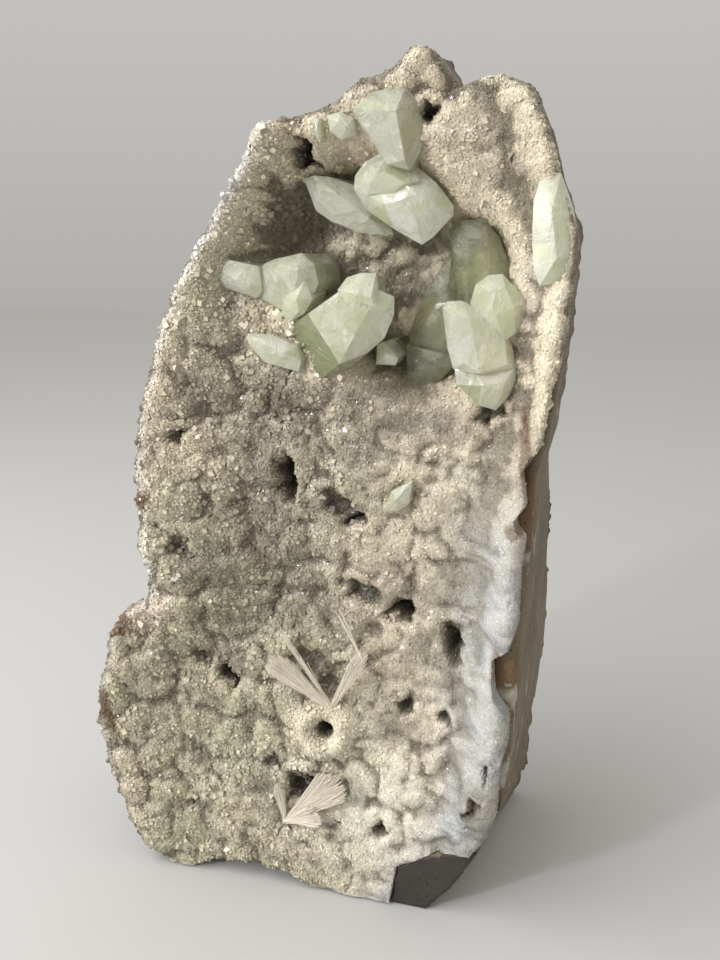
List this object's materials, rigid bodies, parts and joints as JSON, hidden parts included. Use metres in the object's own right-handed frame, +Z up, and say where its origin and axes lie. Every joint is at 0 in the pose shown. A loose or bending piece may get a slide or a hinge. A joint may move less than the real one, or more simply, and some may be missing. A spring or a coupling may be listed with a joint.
{
  "type": "apophyllite cluster",
  "caption": "Free-standing sawn piece of basalt with an open vug, lined with fine druse that carries pale green apophyllite crystals and cream scolecite sprays.",
  "frame": {"origin": "middle of the flat sawn foot, on the surface the piece stands on", "axes": "+Z up, +X to the right seen from the open face, +Y from the open face to the back"},
  "size_m": [0.1743, 0.1065, 0.2996],
  "materials": {
    "basalt": "sawn and rough, dull",
    "druse": "fine sparkling crystal points",
    "apophyllite": "pale green, milky to clear, glassy faces",
    "scolecite": "silky needles"
  },
  "bodies": {
    "root": {"basalt_matrix": "basalt", "druse_crust": "druse", "apophyllite_top_group": "apophyllite", "apophyllite_right_group": "apophyllite", "apophyllite_left_group": "apophyllite", "apophyllite_side_crystal": "apophyllite", "apophyllite_rim_crystal": "apophyllite", "apophyllite_foot_crystal": "apophyllite", "apophyllite_small_blade": "apophyllite", "apophyllite_brow_pair": "apophyllite", "scolecite_upper_spray": "scolecite", "scolecite_lower_spray": "scolecite"}
  },
  "joints": []
}
